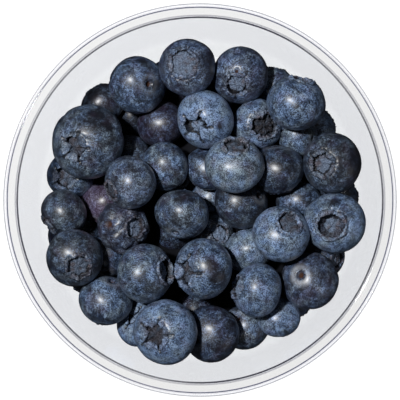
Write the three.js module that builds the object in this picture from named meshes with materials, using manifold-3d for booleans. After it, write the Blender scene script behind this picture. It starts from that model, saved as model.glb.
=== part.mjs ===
// A round clear plastic punnet filled with fresh blueberries.
// Units are millimetres, +Z is up, and the origin is on the table under the middle of the punnet.
// The punnet is one thin sheet formed into a tub. The berries are one heap that rests inside it.
import * as THREE from "three";
import { mergeVertices } from "three/addons/utils/BufferGeometryUtils.js";
import Module from "manifold-3d";

const wasm = await Module();
wasm.setup();

const { degToRad } = THREE.MathUtils;

// Driving dimensions of the punnet
const TUB_HEIGHT = 48;
const SHEET = 0.6; // thickness of the formed sheet
const RIM_ACROSS = 107; // over the skirt that hangs from the rim
const MOUTH_RADIUS = 49.3; // inside of the wall, just under the rim
const FLOOR_RADIUS = 44.6; // inside of the wall, at the floor
const FLOOR_HEIGHT = 1.8; // top of the floor, which is pushed up off the table
const FOOT_WIDTH = 3; // flat ring that the tub stands on
const FOOT_STEP = 1.5; // width of the slope from the foot up to the floor
const BOTTOM_BEND = 3; // radius of the bend between foot and wall
const RIM_BEND = 0.8; // radius of the bend between wall and rim
const SKIRT_TOP_RADIUS = 52.2; // where the flat rim turns down
const SKIRT_DROP = 3.6;
const TUB_SIDES = 64;

// Driving dimensions of a berry, as shares of its width
const FLATNESS = 0.9; // height over width, along the berry's own axis
const SHOULDER_RADIUS = 0.29; // where the skin turns up into the crown
const SHOULDER_HEIGHT = 0.42; // above the middle, before the flattening
const CROWN_RADIUS = 0.21; // at the tips of the sepals
const CROWN_HEIGHT = 0.51;
const NOTCH_DEPTH = 0.05; // between two sepals
const DISH_RADIUS = 0.14; // floor of the crown
const DISH_HEIGHT = 0.43;
const BERRY_SIDES = 10; // five sepals, with a notch after each
const SKIN_ANGLES = [-60, -32, -4, 24]; // degrees round the ball where the skin has its corners
const FACET_ALLOWANCE = 1.02; // corners stand out this much, so that the faces lie at the true size

// The mass of berries inside the heap that nothing shows of
const CORE_RADIUS = 36;
const CORE_BOTTOM = 7;
const CORE_EDGE_HEIGHT = 17;
const CORE_TOP = 22;
const CORE_SLOPE = 5;
const CORE_SIDES = 20;

// How the heap settles: in steps, berries sink, push each other apart and keep near their places
const SETTLING_STEPS = 120;
const SINKING = 0.03; // a step
const HOLD_ACROSS = 0.3; // share of the way back to its place, a step
const HOLD_HEIGHT = 0.06;
const PUSH = 0.4; // share of an overlap that each of the two gives way, a step
const CLOSENESS = 0.94; // how near two middles come, as berries are flatter than they are wide
const CLEARANCE = 0.35; // gap that the heap keeps to the tub

// The berries on the floor stand in rings, as they fall when they are poured in
const FLOOR_RINGS = [
  { count: 3, radius: 9, width: 15.2, turn: 12 },
  { count: 11, radius: 34, width: 15.2, turn: 8 },
];
const FLOOR_START = 9.5; // height of their middles
const RING_UNEVENNESS = 0.05; // how much the widths in a ring vary
const HEADING_STEP = 137; // degrees from the heading of one crown to the next
const LEAN_STEP = 61;
const LEAST_LEAN = 40;
const MOST_LEAN = 160;

// The berries above the floor: the middle (x, y and height z) and the width across the waist.
// crown is the way the crown faces: the heading in degrees, counted from +x towards +y, and the
// lean away from straight up.
const UPPER_BERRIES = [
  { name: "peak", x: -3.5, y: 37, z: 30, width: 16, crown: [153, 13] },
  { name: "right of peak", x: 11.5, y: 35, z: 25, width: 16, crown: [250, 31] },
  { name: "left of peak", x: -17.5, y: 32, z: 26, width: 16.2, crown: [180, 150] },
  { name: "upper right", x: 26, y: 26.5, z: 29, width: 16.8, crown: [76, 78] },
  { name: "biggest", x: -31, y: 16.5, z: 27, width: 20.8, crown: [207, 29] },
  { name: "upper middle", x: 1.5, y: 22.5, z: 29, width: 16.2, crown: [220, 33] },
  { name: "plum coloured", x: -11.5, y: 21.5, z: 19, width: 13.6, crown: [300, 120] },
  { name: "centre", x: 10, y: 9.5, z: 32, width: 16.6, crown: [88, 52] },
  { name: "right, upper", x: 36.5, y: 10.5, z: 27, width: 16.8, crown: [188, 28] },
  { name: "oval", x: -19, y: 4.5, z: 28, width: 15, crown: [204, 64] },
  { name: "behind the oval", x: -9.5, y: 9.5, z: 23, width: 13.8, crown: [20, 125] },
  { name: "right of centre", x: 22.5, y: 10, z: 24, width: 15.2, crown: [280, 100] },
  { name: "behind the centre", x: 1.5, y: 8.5, z: 21, width: 13, crown: [240, 110] },
  { name: "left of centre", x: -5, y: -4, z: 27, width: 15.4, crown: [70, 120] },
  { name: "dark, below centre", x: 11.5, y: -1, z: 23, width: 15.8, crown: [200, 130] },
  { name: "under the biggest", x: -36, y: 6, z: 18, width: 13.6, crown: [202, 18] },
  { name: "left edge", x: -38, y: -3.5, z: 22, width: 13.6, crown: [218, 78] },
  { name: "left, lower", x: -35.5, y: -15.5, z: 26, width: 16.2, crown: [301, 26] },
  { name: "wrinkled", x: -22, y: -7, z: 24, width: 15.2, crown: [352, 38] },
  { name: "purple", x: -28.5, y: -1, z: 16, width: 12.6, crown: [60, 110] },
  { name: "lower left, large", x: -15.5, y: -20.5, z: 30, width: 16.8, crown: [9, 62] },
  { name: "lower middle", x: 1, y: -19, z: 31, width: 17.2, crown: [190, 50] },
  { name: "right middle", x: 22.5, y: -9.5, z: 31, width: 16.2, crown: [57, 36] },
  { name: "right", x: 38, y: -6.5, z: 27, width: 17.2, crown: [207, 12] },
  { name: "lower left, plain", x: -26, y: -28.5, z: 23, width: 15, crown: [250, 115] },
  { name: "lower right", x: 16, y: -25, z: 28, width: 15, crown: [170, 70] },
  { name: "stem end up", x: 31.5, y: -23, z: 24, width: 16.4, crown: [329, 152] },
  { name: "star crown", x: -8.5, y: -37, z: 27, width: 18.2, crown: [185, 23] },
  { name: "under the star crown", x: -18, y: -36, z: 19, width: 14.2, crown: [135, 18] },
  { name: "bottom, plain", x: 2.5, y: -37.5, z: 23, width: 16.4, crown: [20, 140] },
  { name: "bottom, small", x: 13, y: -37.5, z: 17, width: 13.6, crown: [315, 144] },
  { name: "bottom right, small", x: 23, y: -34, z: 19, width: 12.4, crown: [280, 120] },
  { name: "low, right of middle", x: 13, y: -13, z: 21, width: 13.8, crown: [110, 95] },
  { name: "dried crown", x: 17.5, y: 21.5, z: 21, width: 14.2, crown: [346, 20] },
  { name: "right, at the back", x: 33.5, y: 21, z: 18, width: 12.4, crown: [30, 100] },
  { name: "low, right", x: 28.5, y: -0.5, z: 19, width: 13, crown: [100, 110] },
  { name: "right edge, low", x: 39, y: 1, z: 17, width: 12.6, crown: [20, 100] },
  { name: "upper left, low", x: -27.5, y: 26.5, z: 17, width: 12.6, crown: [120, 95] },
  { name: "lower right edge", x: 36, y: -16.5, z: 14, width: 12.6, crown: [345, 45] },
  { name: "lower right, low", x: 27.5, y: -29, z: 12, width: 12.6, crown: [320, 110] },
  { name: "lower left, low", x: -32, y: -22.5, z: 14, width: 12.6, crown: [240, 80] },
  { name: "top, low", x: 20.5, y: 32.5, z: 18, width: 12.4, crown: [80, 90] },
  { name: "deep, upper left", x: -20, y: 12, z: 16, width: 13, crown: [10, 130] },
  { name: "deep, upper right", x: 27.5, y: 17, z: 20, width: 11.8, crown: [170, 125] },
  { name: "deep, lower middle", x: 4.5, y: -10, z: 18, width: 12.4, crown: [14, 22] },
  { name: "deep, left", x: -27, y: -16, z: 15, width: 12.6, crown: [90, 120] },
  { name: "deep, centre", x: 2.5, y: 1, z: 15, width: 11.4, crown: [0, 140] },
];

const rimLine = TUB_HEIGHT - SHEET / 2;
const wallTop = rimLine - RIM_BEND;
const wallLean = (MOUTH_RADIUS - FLOOR_RADIUS) / (wallTop - FLOOR_HEIGHT);

// Inside radius of the wall at a height
function wallRadius(height) {
  return FLOOR_RADIUS + wallLean * (height - FLOOR_HEIGHT);
}

// Points on a bend round a middle, one for each angle in degrees
function bend(middle, radius, angles) {
  return angles.map((angle) => [
    middle[0] + radius * Math.cos(degToRad(angle)),
    middle[1] + radius * Math.sin(degToRad(angle)),
  ]);
}

// The line down the middle of the sheet, from the axis out to the edge of the skirt
function sheetPath() {
  const half = SHEET / 2;
  const floorLine = FLOOR_HEIGHT - half;
  const footRadius = wallRadius(half + BOTTOM_BEND) + half - BOTTOM_BEND;
  const footInside = footRadius - FOOT_WIDTH;
  const path = [
    [0, floorLine],
    [footInside - FOOT_STEP, floorLine],
    [footInside, half],
    [footRadius, half],
    ...bend([footRadius, half + BOTTOM_BEND], BOTTOM_BEND, [-60, -30, -4]),
    ...bend([MOUTH_RADIUS + half + RIM_BEND, wallTop], RIM_BEND, [180, 150, 120, 90]),
    [SKIRT_TOP_RADIUS - half, rimLine],
    [SKIRT_TOP_RADIUS + half, rimLine - half],
    [RIM_ACROSS / 2 - half, TUB_HEIGHT - SKIRT_DROP],
  ];
  return path.map(([radius, height]) => new THREE.Vector2(radius, height));
}

// Both faces of the sheet as one outline, from the axis round the edge of the skirt and back
function sheetOutline(path) {
  const directions = path.slice(1).map((point, i) => point.clone().sub(path[i]).normalize());
  const offsets = path.map((_, i) => {
    const into = directions[Math.max(i - 1, 0)];
    const away = directions[Math.min(i, directions.length - 1)];
    const along = into.clone().add(away).normalize();
    return new THREE.Vector2(along.y, -along.x).multiplyScalar(SHEET / 2 / along.dot(into));
  });
  const outside = path.map((point, i) => point.clone().add(offsets[i]));
  const inside = path.map((point, i) => point.clone().sub(offsets[i]));
  return [...outside, ...inside.reverse()];
}

// A berry one unit wide, crown upwards: a flattened ball whose top ends in a low crown of five
// sepals round a shallow dish
function berryGeometry() {
  const skin = SKIN_ANGLES.map((angle) => {
    return new THREE.Vector2(Math.cos(degToRad(angle)), Math.sin(degToRad(angle))).divideScalar(2);
  });
  const sepalTip = new THREE.Vector2(CROWN_RADIUS, CROWN_HEIGHT);
  const profile = [
    new THREE.Vector2(0, -0.5),
    ...skin,
    new THREE.Vector2(SHOULDER_RADIUS, SHOULDER_HEIGHT),
    sepalTip,
    new THREE.Vector2(DISH_RADIUS, DISH_HEIGHT),
    new THREE.Vector2(0, DISH_HEIGHT),
  ];
  const geometry = new THREE.LatheGeometry(profile, BERRY_SIDES);
  const places = geometry.getAttribute("position");
  for (let side = 1; side < BERRY_SIDES; side += 2) {
    places.setY(side * profile.length + profile.indexOf(sepalTip), CROWN_HEIGHT - NOTCH_DEPTH);
  }
  geometry.rotateX(Math.PI / 2);
  geometry.scale(FACET_ALLOWANCE, FACET_ALLOWANCE, FACET_ALLOWANCE * FLATNESS);
  return geometry;
}

// The mass inside the heap: a low mound
function coreGeometry() {
  const profile = [
    new THREE.Vector2(0, CORE_BOTTOM),
    new THREE.Vector2(CORE_RADIUS, CORE_BOTTOM),
    new THREE.Vector2(CORE_RADIUS, CORE_EDGE_HEIGHT - CORE_SLOPE),
    new THREE.Vector2(CORE_RADIUS - CORE_SLOPE, CORE_EDGE_HEIGHT),
    new THREE.Vector2(0, CORE_TOP),
  ];
  return new THREE.LatheGeometry(profile, CORE_SIDES).rotateX(Math.PI / 2);
}

// The berries on the floor, ring by ring, with widths and crowns that vary by a fixed rule
function floorBerries() {
  return FLOOR_RINGS.flatMap(({ count, radius, width, turn }) => {
    return Array.from({ length: count }, (_, i) => {
      const heading = degToRad(turn + (360 * i) / count);
      return {
        x: radius * Math.cos(heading),
        y: radius * Math.sin(heading),
        z: FLOOR_START,
        width: width * (1 + RING_UNEVENNESS * Math.sin(5 * i + radius)),
        crown: [HEADING_STEP * i, LEAST_LEAN + ((LEAN_STEP * i) % (MOST_LEAN - LEAST_LEAN))],
      };
    });
  });
}

// Moves two berries apart where they overlap
function pushApart(one, other) {
  const reach = (CLOSENESS * (one.width + other.width)) / 2;
  const gap = new THREE.Vector3().subVectors(other.middle, one.middle);
  const overlap = reach - gap.length();
  if (overlap <= 0) {
    return;
  }
  gap.setLength(overlap * PUSH);
  one.middle.sub(gap);
  other.middle.add(gap);
}

// Keeps a berry off the floor and the wall
function keepInside(berry) {
  const radius = berry.width / 2;
  const { middle } = berry;
  middle.z = Math.max(middle.z, FLOOR_HEIGHT + CLEARANCE + radius);
  const furthest = wallRadius(middle.z) - CLEARANCE - radius * FACET_ALLOWANCE;
  const out = Math.hypot(middle.x, middle.y);
  if (out > furthest) {
    middle.x *= furthest / out;
    middle.y *= furthest / out;
  }
}

// Lets the heap settle, and gives every berry the place where its middle comes to rest
function settle(onFloor, above) {
  const berries = [...onFloor, ...above].map((berry) => ({
    ...berry,
    middle: new THREE.Vector3(berry.x, berry.y, berry.z),
  }));
  for (let step = 0; step < SETTLING_STEPS; step += 1) {
    berries.forEach(({ x, y, z, middle }, i) => {
      middle.z -= SINKING;
      if (i >= onFloor.length) {
        middle.x += (x - middle.x) * HOLD_ACROSS;
        middle.y += (y - middle.y) * HOLD_ACROSS;
        middle.z += (z - middle.z) * HOLD_HEIGHT;
      }
    });
    berries.forEach((berry, i) => {
      berries.slice(i + 1).forEach((other) => pushApart(berry, other));
    });
    berries.forEach(keepInside);
  }
  return berries;
}

// A closed geometry as a solid that can be joined to others
function solidOf(geometry) {
  const bare = geometry.clone();
  bare.deleteAttribute("normal");
  bare.deleteAttribute("uv");
  const merged = mergeVertices(bare, 1e-4);
  return new wasm.Manifold(
    new wasm.Mesh({
      numProp: 3,
      vertProperties: merged.getAttribute("position").array,
      triVerts: new Uint32Array(merged.index.array),
    }),
  );
}

// The surface of a solid
function geometryOf(solid) {
  const mesh = solid.getMesh();
  const geometry = new THREE.BufferGeometry();
  geometry.setAttribute("position", new THREE.BufferAttribute(mesh.vertProperties, 3));
  geometry.setIndex(new THREE.BufferAttribute(mesh.triVerts, 1));
  geometry.computeVertexNormals();
  return geometry;
}

// The turn, place and size of a berry in the heap
function placeOf({ middle, width, crown }) {
  const [heading, lean] = crown.map(degToRad);
  const facing = new THREE.Vector3(
    Math.sin(lean) * Math.cos(heading),
    Math.sin(lean) * Math.sin(heading),
    Math.cos(lean),
  );
  const turn = new THREE.Quaternion().setFromUnitVectors(new THREE.Vector3(0, 0, 1), facing);
  return new THREE.Matrix4().compose(middle, turn, new THREE.Vector3(width, width, width));
}

function buildTub() {
  const outline = sheetOutline(sheetPath());
  const geometry = new THREE.LatheGeometry(outline, TUB_SIDES).rotateX(Math.PI / 2);
  const material = new THREE.MeshStandardMaterial({
    color: 0xe9edf0,
    roughness: 0.08,
    metalness: 0,
    transparent: true,
    opacity: 0.3,
  });
  const tub = new THREE.Mesh(geometry, material);
  tub.name = "tub";
  return tub;
}

function buildBerries() {
  const berry = solidOf(berryGeometry());
  const berries = settle(floorBerries(), UPPER_BERRIES);
  const solids = berries.map((one) => berry.transform(placeOf(one).elements));
  const heap = wasm.Manifold.union([solidOf(coreGeometry()), ...solids]);
  const material = new THREE.MeshStandardMaterial({ color: 0x3e4a60, roughness: 0.5, metalness: 0 });
  const mesh = new THREE.Mesh(geometryOf(heap), material);
  mesh.name = "blueberries";
  return mesh;
}

const punnet = new THREE.Group();
punnet.add(buildTub(), buildBerries());
export default punnet;
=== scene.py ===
# %% [markdown]
# # A punnet of blueberries
#
# A round tub of thin clear plastic holds an uneven heap of fresh blueberries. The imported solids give
# the sizes. Here the tub is made again as a smooth, thin shell, and the heap as separate berries,
# each with its own crown, stem scar, bloom and small faults. Seen from above, a berry is nearly a
# disc of dusty blue, so the crowns and the worn wax carry most of the likeness.

import math
import random
from typing import NamedTuple

import bmesh
import bpy
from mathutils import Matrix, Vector, noise


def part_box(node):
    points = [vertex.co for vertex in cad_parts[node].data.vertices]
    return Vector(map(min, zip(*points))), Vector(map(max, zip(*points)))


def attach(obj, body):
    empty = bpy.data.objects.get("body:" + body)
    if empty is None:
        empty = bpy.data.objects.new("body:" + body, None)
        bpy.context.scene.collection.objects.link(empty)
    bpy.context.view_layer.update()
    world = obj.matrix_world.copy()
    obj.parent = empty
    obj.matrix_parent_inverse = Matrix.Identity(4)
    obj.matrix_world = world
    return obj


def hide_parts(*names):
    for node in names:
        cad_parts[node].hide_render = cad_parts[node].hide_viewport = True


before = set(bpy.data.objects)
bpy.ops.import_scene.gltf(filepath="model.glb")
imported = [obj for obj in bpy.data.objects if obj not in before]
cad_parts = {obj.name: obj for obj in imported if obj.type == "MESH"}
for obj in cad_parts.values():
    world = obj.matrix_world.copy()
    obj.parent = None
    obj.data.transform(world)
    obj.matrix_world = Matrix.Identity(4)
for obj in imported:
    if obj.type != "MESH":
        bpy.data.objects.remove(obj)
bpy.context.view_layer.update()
MM = 0.001
tub_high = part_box("tub")[1]
heap_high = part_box("blueberries")[1]
print("tub", [round(v / MM, 1) for v in tub_high], "mm, heap up to", round(heap_high[2] / MM, 1), "mm")

# %% [markdown]
# ## The sizes of the tub
#
# The rim's width and height come from the frame, so the shell fits the solid that stands for it in
# collisions. The rest are the driving dimensions of a thermoformed tub: a sheet of even thickness
# that was drawn over a mould, with a small lean to every wall so that tubs come apart in a stack.

# %% Name the tub's sizes, in millimetres
TUB_HEIGHT = tub_high[2] / MM
RIM_RADIUS = tub_high[0] / MM
SHEET = 0.6
MOUTH_RADIUS = 49.3
FLOOR_RADIUS = 44.6
FLOOR_HEIGHT = 1.8
FOOT_WIDTH = 3
FOOT_STEP = 1.5
BOTTOM_BEND = 3
RIM_BEND = 0.8
SKIRT_TOP_RADIUS = 52.2
SKIRT_DROP = 3.6
RIM_LINE = TUB_HEIGHT - SHEET / 2
WALL_TOP = RIM_LINE - RIM_BEND
WALL_LEAN = (MOUTH_RADIUS - FLOOR_RADIUS) / (WALL_TOP - FLOOR_HEIGHT)


def wall_radius(height):
    """Inside radius of the wall at a height."""
    return FLOOR_RADIUS + WALL_LEAN * (height - FLOOR_HEIGHT)


print("the wall leans out", round(math.degrees(math.atan(WALL_LEAN)), 1), "degrees")

# %% [markdown]
# ## The list of berries
#
# A random scatter would never look like this heap, because the eye knows a berry by its neighbours.
# So the berries above the floor are written down one by one: where each lies, how wide it is, which
# way its crown faces and what its skin is like. The heading is counted in degrees from +X towards
# +Y, and the lean is the crown's tilt away from straight up. Those on the floor hardly show, so a
# rule places them in two rings.


# %% Describe a berry
class Berry(NamedTuple):
    name: str
    x: float
    y: float
    z: float
    width: float
    heading: float
    lean: float
    bloom: float = 0.5  # how much of the wax is left
    red: float = 0.0  # purple red of a berry that isn't quite ripe
    crown: float = 0.46  # the crown's radius as a share of the berry's
    folded: float = 0.2  # how far the sepals fold in over the dish
    flat: float = 0.9  # height over width
    sunk: float = 0.15  # depth of the dish, as a share of the crown's radius
    moat: float = 0.38  # depth of the gap round the dish, below it
    stand: float = 0.15  # how far the sepals stand up
    dish: float = 0.72  # the dish's radius, as a share of the crown's
    bare: float = 0.0  # how brown and free of wax the crown is inside, and how much painted shade its dish gets
    sepals: tuple = ()  # how far each sepal reaches, from +X round, where it isn't left to chance
    worn: tuple = ()  # worn patches: heading, lean and reach in degrees
    kind: str = "upper"
    grey: float | None = None  # how grey the wax is, where it isn't left to chance


UPPER_BERRIES = [
    Berry("peak", -3.5, 37, 30, 16, 153, 13, 0.5, 0.05, 0.53, dish=0.84, moat=0.2, bare=0.25,
          sepals=(0.5, 0.1, 1.1, 0.8, 0.6), worn=((10, 62, 34),)),
    Berry("right of peak", 11.5, 35, 25, 16, 250, 31, 0.5, 0.05, 0.44, 0.35, sunk=0.25, bare=0.2),
    Berry("left of peak", -17.5, 32, 26, 16.2, 180, 150, 0.5, kind="creased", worn=((0, 48, 14),)),
    Berry("upper right", 26, 26.5, 29, 16.8, 76, 78, 0.62, folded=0.0, stand=0.75,
          sepals=(0.9, 0.5, 1.0, 0.9, 1.0), worn=((300, 60, 20),), grey=0.1),
    Berry("biggest", -31, 16.5, 27, 20.8, 207, 29, 0.5, crown=0.38, folded=0.8, sunk=0.35, stand=0.0,
          bare=0.7, sepals=(1.2, 0.1, 1.3, 1.2, 0.1), kind="creased", worn=((60, 45, 30),)),
    Berry("upper middle", 1.5, 22.5, 29, 16.2, 220, 33, 0.8, 0, 0.5, 0.9, sunk=0.2, moat=0.5, dish=0.45,
          sepals=(0.1, 0.9, 0.1, 0.7, 1.3), worn=((330, 35, 12),)),
    Berry("plum coloured", -11.5, 21.5, 19, 13.6, 300, 120, 0.25, 0.12, kind="lower"),
    Berry("centre", 10, 9.5, 32, 16.6, 88, 52, 0.75, crown=0.47, folded=0.3, stand=0.8, moat=0.5,
          bare=0.7),
    Berry("right, upper", 36.5, 10.5, 27, 16.8, 188, 28, 0.35, folded=0.25, dish=0.6, moat=0.3, bare=0.25,
          sepals=(0.9, 1.0, 0.8, 1.1, 0.9), kind="rubbed", worn=((350, 50, 45),)),
    Berry("oval", -19, 4.5, 28, 15, 204, 64, 0.52, 0.04, 0.42, 0.1, 0.93, stand=1.1, bare=0.85, grey=0.5),
    Berry("behind the oval", -9.5, 9.5, 23, 13.8, 20, 125, 0.5, grey=0.5),
    Berry("right of centre", 22.5, 10, 24, 15.2, 280, 100, 0.35, kind="rubbed"),
    Berry("behind the centre", 1.5, 8.5, 21, 13, 240, 110, 0.45, kind="lower"),
    Berry("left of centre", -5, -4, 27, 15.4, 70, 120, 0.5, flat=0.86, kind="rubbed", worn=((80, 50, 30),)),
    Berry("dark, below centre", 11.5, -1, 23, 15.8, 200, 130, 0.3, kind="rubbed"),
    Berry("under the biggest", -36, 6, 18, 13.6, 202, 18, 0.55, crown=0.52, folded=0.6, sunk=0.4, bare=0.6,
          kind="lower"),
    Berry("left edge", -38, -3.5, 22, 13.6, 218, 78, 0.4, stand=1.2, bare=0.4, kind="rubbed"),
    Berry("left, lower", -35.5, -15.5, 26, 16.2, 301, 26, 0.38, crown=0.48, sunk=0.35, moat=0.12, dish=0.8,
          bare=0.5, kind="rubbed"),
    Berry("wrinkled", -22, -7, 24, 15.2, 352, 38, 0.42, 0.08, 0.45, sunk=0.5, moat=0.0, dish=0.84,
          sepals=(0, 0, 0, 0, 0), kind="wrinkled"),
    Berry("purple", -28.5, -1, 16, 12.6, 60, 110, 0.4, 0.45, kind="lower"),
    Berry("lower left, large", -15.5, -20.5, 30, 16.8, 9, 62, 0.55, crown=0.48, folded=0.1, sunk=0.3,
          stand=0.9, grey=0.6),
    Berry("lower middle", 1, -19, 31, 17.2, 190, 50, 0.62, crown=0.54, folded=0.75, sunk=0.3, stand=0.6,
          moat=0.5, bare=0.7, sepals=(1.1, 0.6, 1.2, 0.3, 1), worn=((20, 16, 20), (330, 36, 24))),
    Berry("right middle", 22.5, -9.5, 31, 16.2, 57, 36, 0.75, crown=0.47, sunk=0.35, moat=0.08, dish=0.8,
          bare=0.6),
    Berry("right", 38, -6.5, 27, 17.2, 207, 12, 0.7, crown=0.5, folded=0.0, sunk=0.45, moat=0.02, stand=1.2,
          dish=0.48, bare=0.3, sepals=(1, 1.1, 0.8, 1, 0.9), worn=((90, 50, 14),)),
    Berry("lower left, plain", -26, -28.5, 23, 15, 250, 115, 0.54, grey=0.4),
    Berry("lower right", 16, -25, 28, 15, 170, 70, 0.65, folded=0.1, stand=1.0),
    Berry("stem end up", 31.5, -23, 24, 16.4, 329, 152, 0.42, 0.05),
    Berry("star crown", -8.5, -37, 27, 18.2, 185, 23, 0.75, 0, 0.45, 0.55, sunk=0.35, dish=0.8, stand=0.0,
          bare=0.92, sepals=(0.9, 1.1, 1.0, 0.8, 0.8), grey=0.1),
    Berry("under the star crown", -18, -36, 19, 14.2, 135, 18, 0.8, 0, 0.46, 0.8, sunk=0.4, stand=0.6,
          sepals=(1.0, 0.9, 0.5, 1.1, 0.9), kind="lower"),
    Berry("bottom, plain", 2.5, -37.5, 23, 16.4, 20, 140, 0.35, 0.03, kind="rubbed"),
    Berry("bottom, small", 13, -37.5, 17, 13.6, 315, 144, 0.5, kind="lower"),
    Berry("bottom right, small", 23, -34, 19, 12.4, 280, 120, 0.7, kind="lower"),
    Berry("low, right of middle", 13, -13, 21, 13.8, 110, 95, 0.7, kind="lower"),
    Berry("dried crown", 17.5, 21.5, 21, 14.2, 346, 20, 0.7, 0, 0.58, 0.3, sunk=0.3, stand=0.9, bare=1.0,
          kind="lower"),
    Berry("right, at the back", 33.5, 21, 18, 12.4, 30, 100, 0.6, kind="lower"),
    Berry("low, right", 28.5, -0.5, 19, 13, 100, 110, 0.5, kind="lower"),
    Berry("right edge, low", 39, 1, 17, 12.6, 20, 100, 0.3, kind="rubbed"),
    Berry("upper left, low", -27.5, 26.5, 17, 12.6, 120, 95, 0.3, kind="rubbed"),
    Berry("lower right edge", 36, -16.5, 14, 12.6, 345, 45, 0.45, stand=1, bare=0.5, kind="lower"),
    Berry("lower right, low", 27.5, -29, 12, 12.6, 320, 110, 0.4, kind="lower"),
    Berry("lower left, low", -32, -22.5, 14, 12.6, 240, 80, 0.3, kind="rubbed"),
    Berry("top, low", 20.5, 32.5, 18, 12.4, 80, 90, 0.5, kind="lower"),
    Berry("deep, upper left", -20, 12, 16, 13, 10, 130, 0.4, kind="lower"),
    Berry("deep, upper right", 27.5, 17, 20, 11.8, 170, 125, 0.6, kind="lower"),
    Berry("deep, lower middle", 4.5, -10, 18, 12.4, 14, 22, 0.5, kind="lower"),
    Berry("deep, left", -27, -16, 15, 12.6, 90, 120, 0.4, kind="lower"),
    Berry("deep, centre", 2.5, 1, 15, 11.4, 0, 140, 0.6, kind="lower"),
]
print(len(UPPER_BERRIES), "berries above the floor")

# %% Place the berries on the floor by rule
FLOOR_RINGS = [(3, 9, 15.2, 12), (11, 34, 15.2, 8)]  # count, radius, width and first heading
FLOOR_START = 9.5
RING_UNEVENNESS = 0.05
HEADING_STEP = 137
LEAN_STEP = 61
LEAST_LEAN = 85
MOST_LEAN = 160
FLOOR_BLOOM_AS_PAINTED_SHADE = 0.2  # little wax, so they are dark as painted shade, since they only show in the gaps

floor_berries = []
for count, radius, width, turn in FLOOR_RINGS:
    for i in range(count):
        heading = math.radians(turn + 360 * i / count)
        floor_berries.append(Berry(
            f"floor {radius} {i}",
            radius * math.cos(heading),
            radius * math.sin(heading),
            FLOOR_START,
            width * (1 + RING_UNEVENNESS * math.sin(5 * i + radius)),
            HEADING_STEP * i % 360,
            LEAST_LEAN + LEAN_STEP * i % (MOST_LEAN - LEAST_LEAN),
            FLOOR_BLOOM_AS_PAINTED_SHADE,
            kind="floor",
        ))
print(len(floor_berries), "berries on the floor")

# %% [markdown]
# ## Letting the heap settle
#
# Written places always leave some berries hanging and others sunk into each other. Rigid body
# physics could sort that out, but it would roll the berries away from their places. A gentler way is
# to let every berry sink a little, push overlapping ones apart, draw each back towards its place,
# and do so over a hundred times. The solids of the frame were settled by the same rule, so these
# berries lie where those do.

# %% Settle the berries
SETTLING_STEPS = 120
SINKING = 0.03
HOLD_ACROSS = 0.3
HOLD_HEIGHT = 0.06
PUSH = 0.4
CLOSENESS = 0.94
CLEARANCE = 0.35
FACET_ALLOWANCE = 1.02


def push_apart(middles, berries, one, other):
    """Moves two berries apart where they overlap."""
    reach = CLOSENESS * (berries[one].width + berries[other].width) / 2
    gap = middles[other] - middles[one]
    overlap = reach - gap.length
    if overlap > 0:
        gap.normalize()
        middles[one] -= gap * overlap * PUSH
        middles[other] += gap * overlap * PUSH


def keep_inside(middle, radius):
    """Keeps a berry off the floor and the wall."""
    middle.z = max(middle.z, FLOOR_HEIGHT + CLEARANCE + radius)
    furthest = wall_radius(middle.z) - CLEARANCE - radius * FACET_ALLOWANCE
    out = math.hypot(middle.x, middle.y)
    if out > furthest:
        middle.x *= furthest / out
        middle.y *= furthest / out


def settle(on_floor, above):
    """Gives the middle of every berry, in millimetres, once the heap is at rest."""
    berries = on_floor + above
    middles = [Vector((b.x, b.y, b.z)) for b in berries]
    for _ in range(SETTLING_STEPS):
        for i, berry in enumerate(berries):
            middles[i].z -= SINKING
            if i >= len(on_floor):
                middles[i].x += (berry.x - middles[i].x) * HOLD_ACROSS
                middles[i].y += (berry.y - middles[i].y) * HOLD_ACROSS
                middles[i].z += (berry.z - middles[i].z) * HOLD_HEIGHT
        for one in range(len(berries)):
            for other in range(one + 1, len(berries)):
                push_apart(middles, berries, one, other)
        for middle, berry in zip(middles, berries):
            keep_inside(middle, berry.width / 2)
    return list(zip(berries, middles))


heap = settle(floor_berries, UPPER_BERRIES)
print("highest middle", round(max(middle.z for _, middle in heap), 1), "mm")

# %% [markdown]
# ## The blank of a berry
#
# Under its faults every berry has one form: a round body, a stem scar at one end and, at the other,
# the crown, which is what is left of the flower. A half outline spun round the axis gives that form
# with clean rings of faces, closely spaced where the crown and the scar need them. Each corner of
# the outline is a station, and its number is kept on the mesh, so that later steps know which part
# of the berry a vertex belongs to.

# %% List the stations from the stem scar to the middle of the crown
SKIN_TURNS = [0, 2, 4, 6, 8, 11, 14, 18, 23, 29, 36, 43, 50, 58, 66, 74, 82]  # degrees from the stem scar
SKIN_TURNS += [90, 98, 106, 113, 120, 127, 133, 139, 144, 149]
CROWN_STATIONS = [
    ("edge", 1.25), ("edge", 1.12), ("edge", 1.04),
    ("ring", 0.0), ("ring", 0.35), ("ring", 0.7), ("ring", 1.0),
    ("sepal", 0.3), ("sepal", 0.65), ("sepal", 1.0),
    ("under", 0.3), ("under", 1.0),
    ("pit", 0.0), ("pit", 1.0),
    ("dish", 1.0), ("dish", 0.9), ("dish", 0.78), ("dish", 0.64), ("dish", 0.5), ("dish", 0.36),
    ("style", 0.24), ("style", 0.18), ("style", 0.12), ("style", 0.0),
]
BODY_STATIONS = len(SKIN_TURNS)
RING_STATION = BODY_STATIONS + CROWN_STATIONS.index(("ring", 0.0))
DISH_STATION = BODY_STATIONS + CROWN_STATIONS.index(("dish", 1.0))
STEPS = 96
BLANK_FLATNESS = 0.9
print(BODY_STATIONS + len(CROWN_STATIONS), "stations,", STEPS, "steps round")


# %% Give the outline of a berry at one side
def blend(low, high, share):
    return low + (high - low) * share


def soft_step(value, low, high):
    share = min(max((value - low) / (high - low), 0), 1)
    return share * share * (3 - 2 * share)


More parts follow.
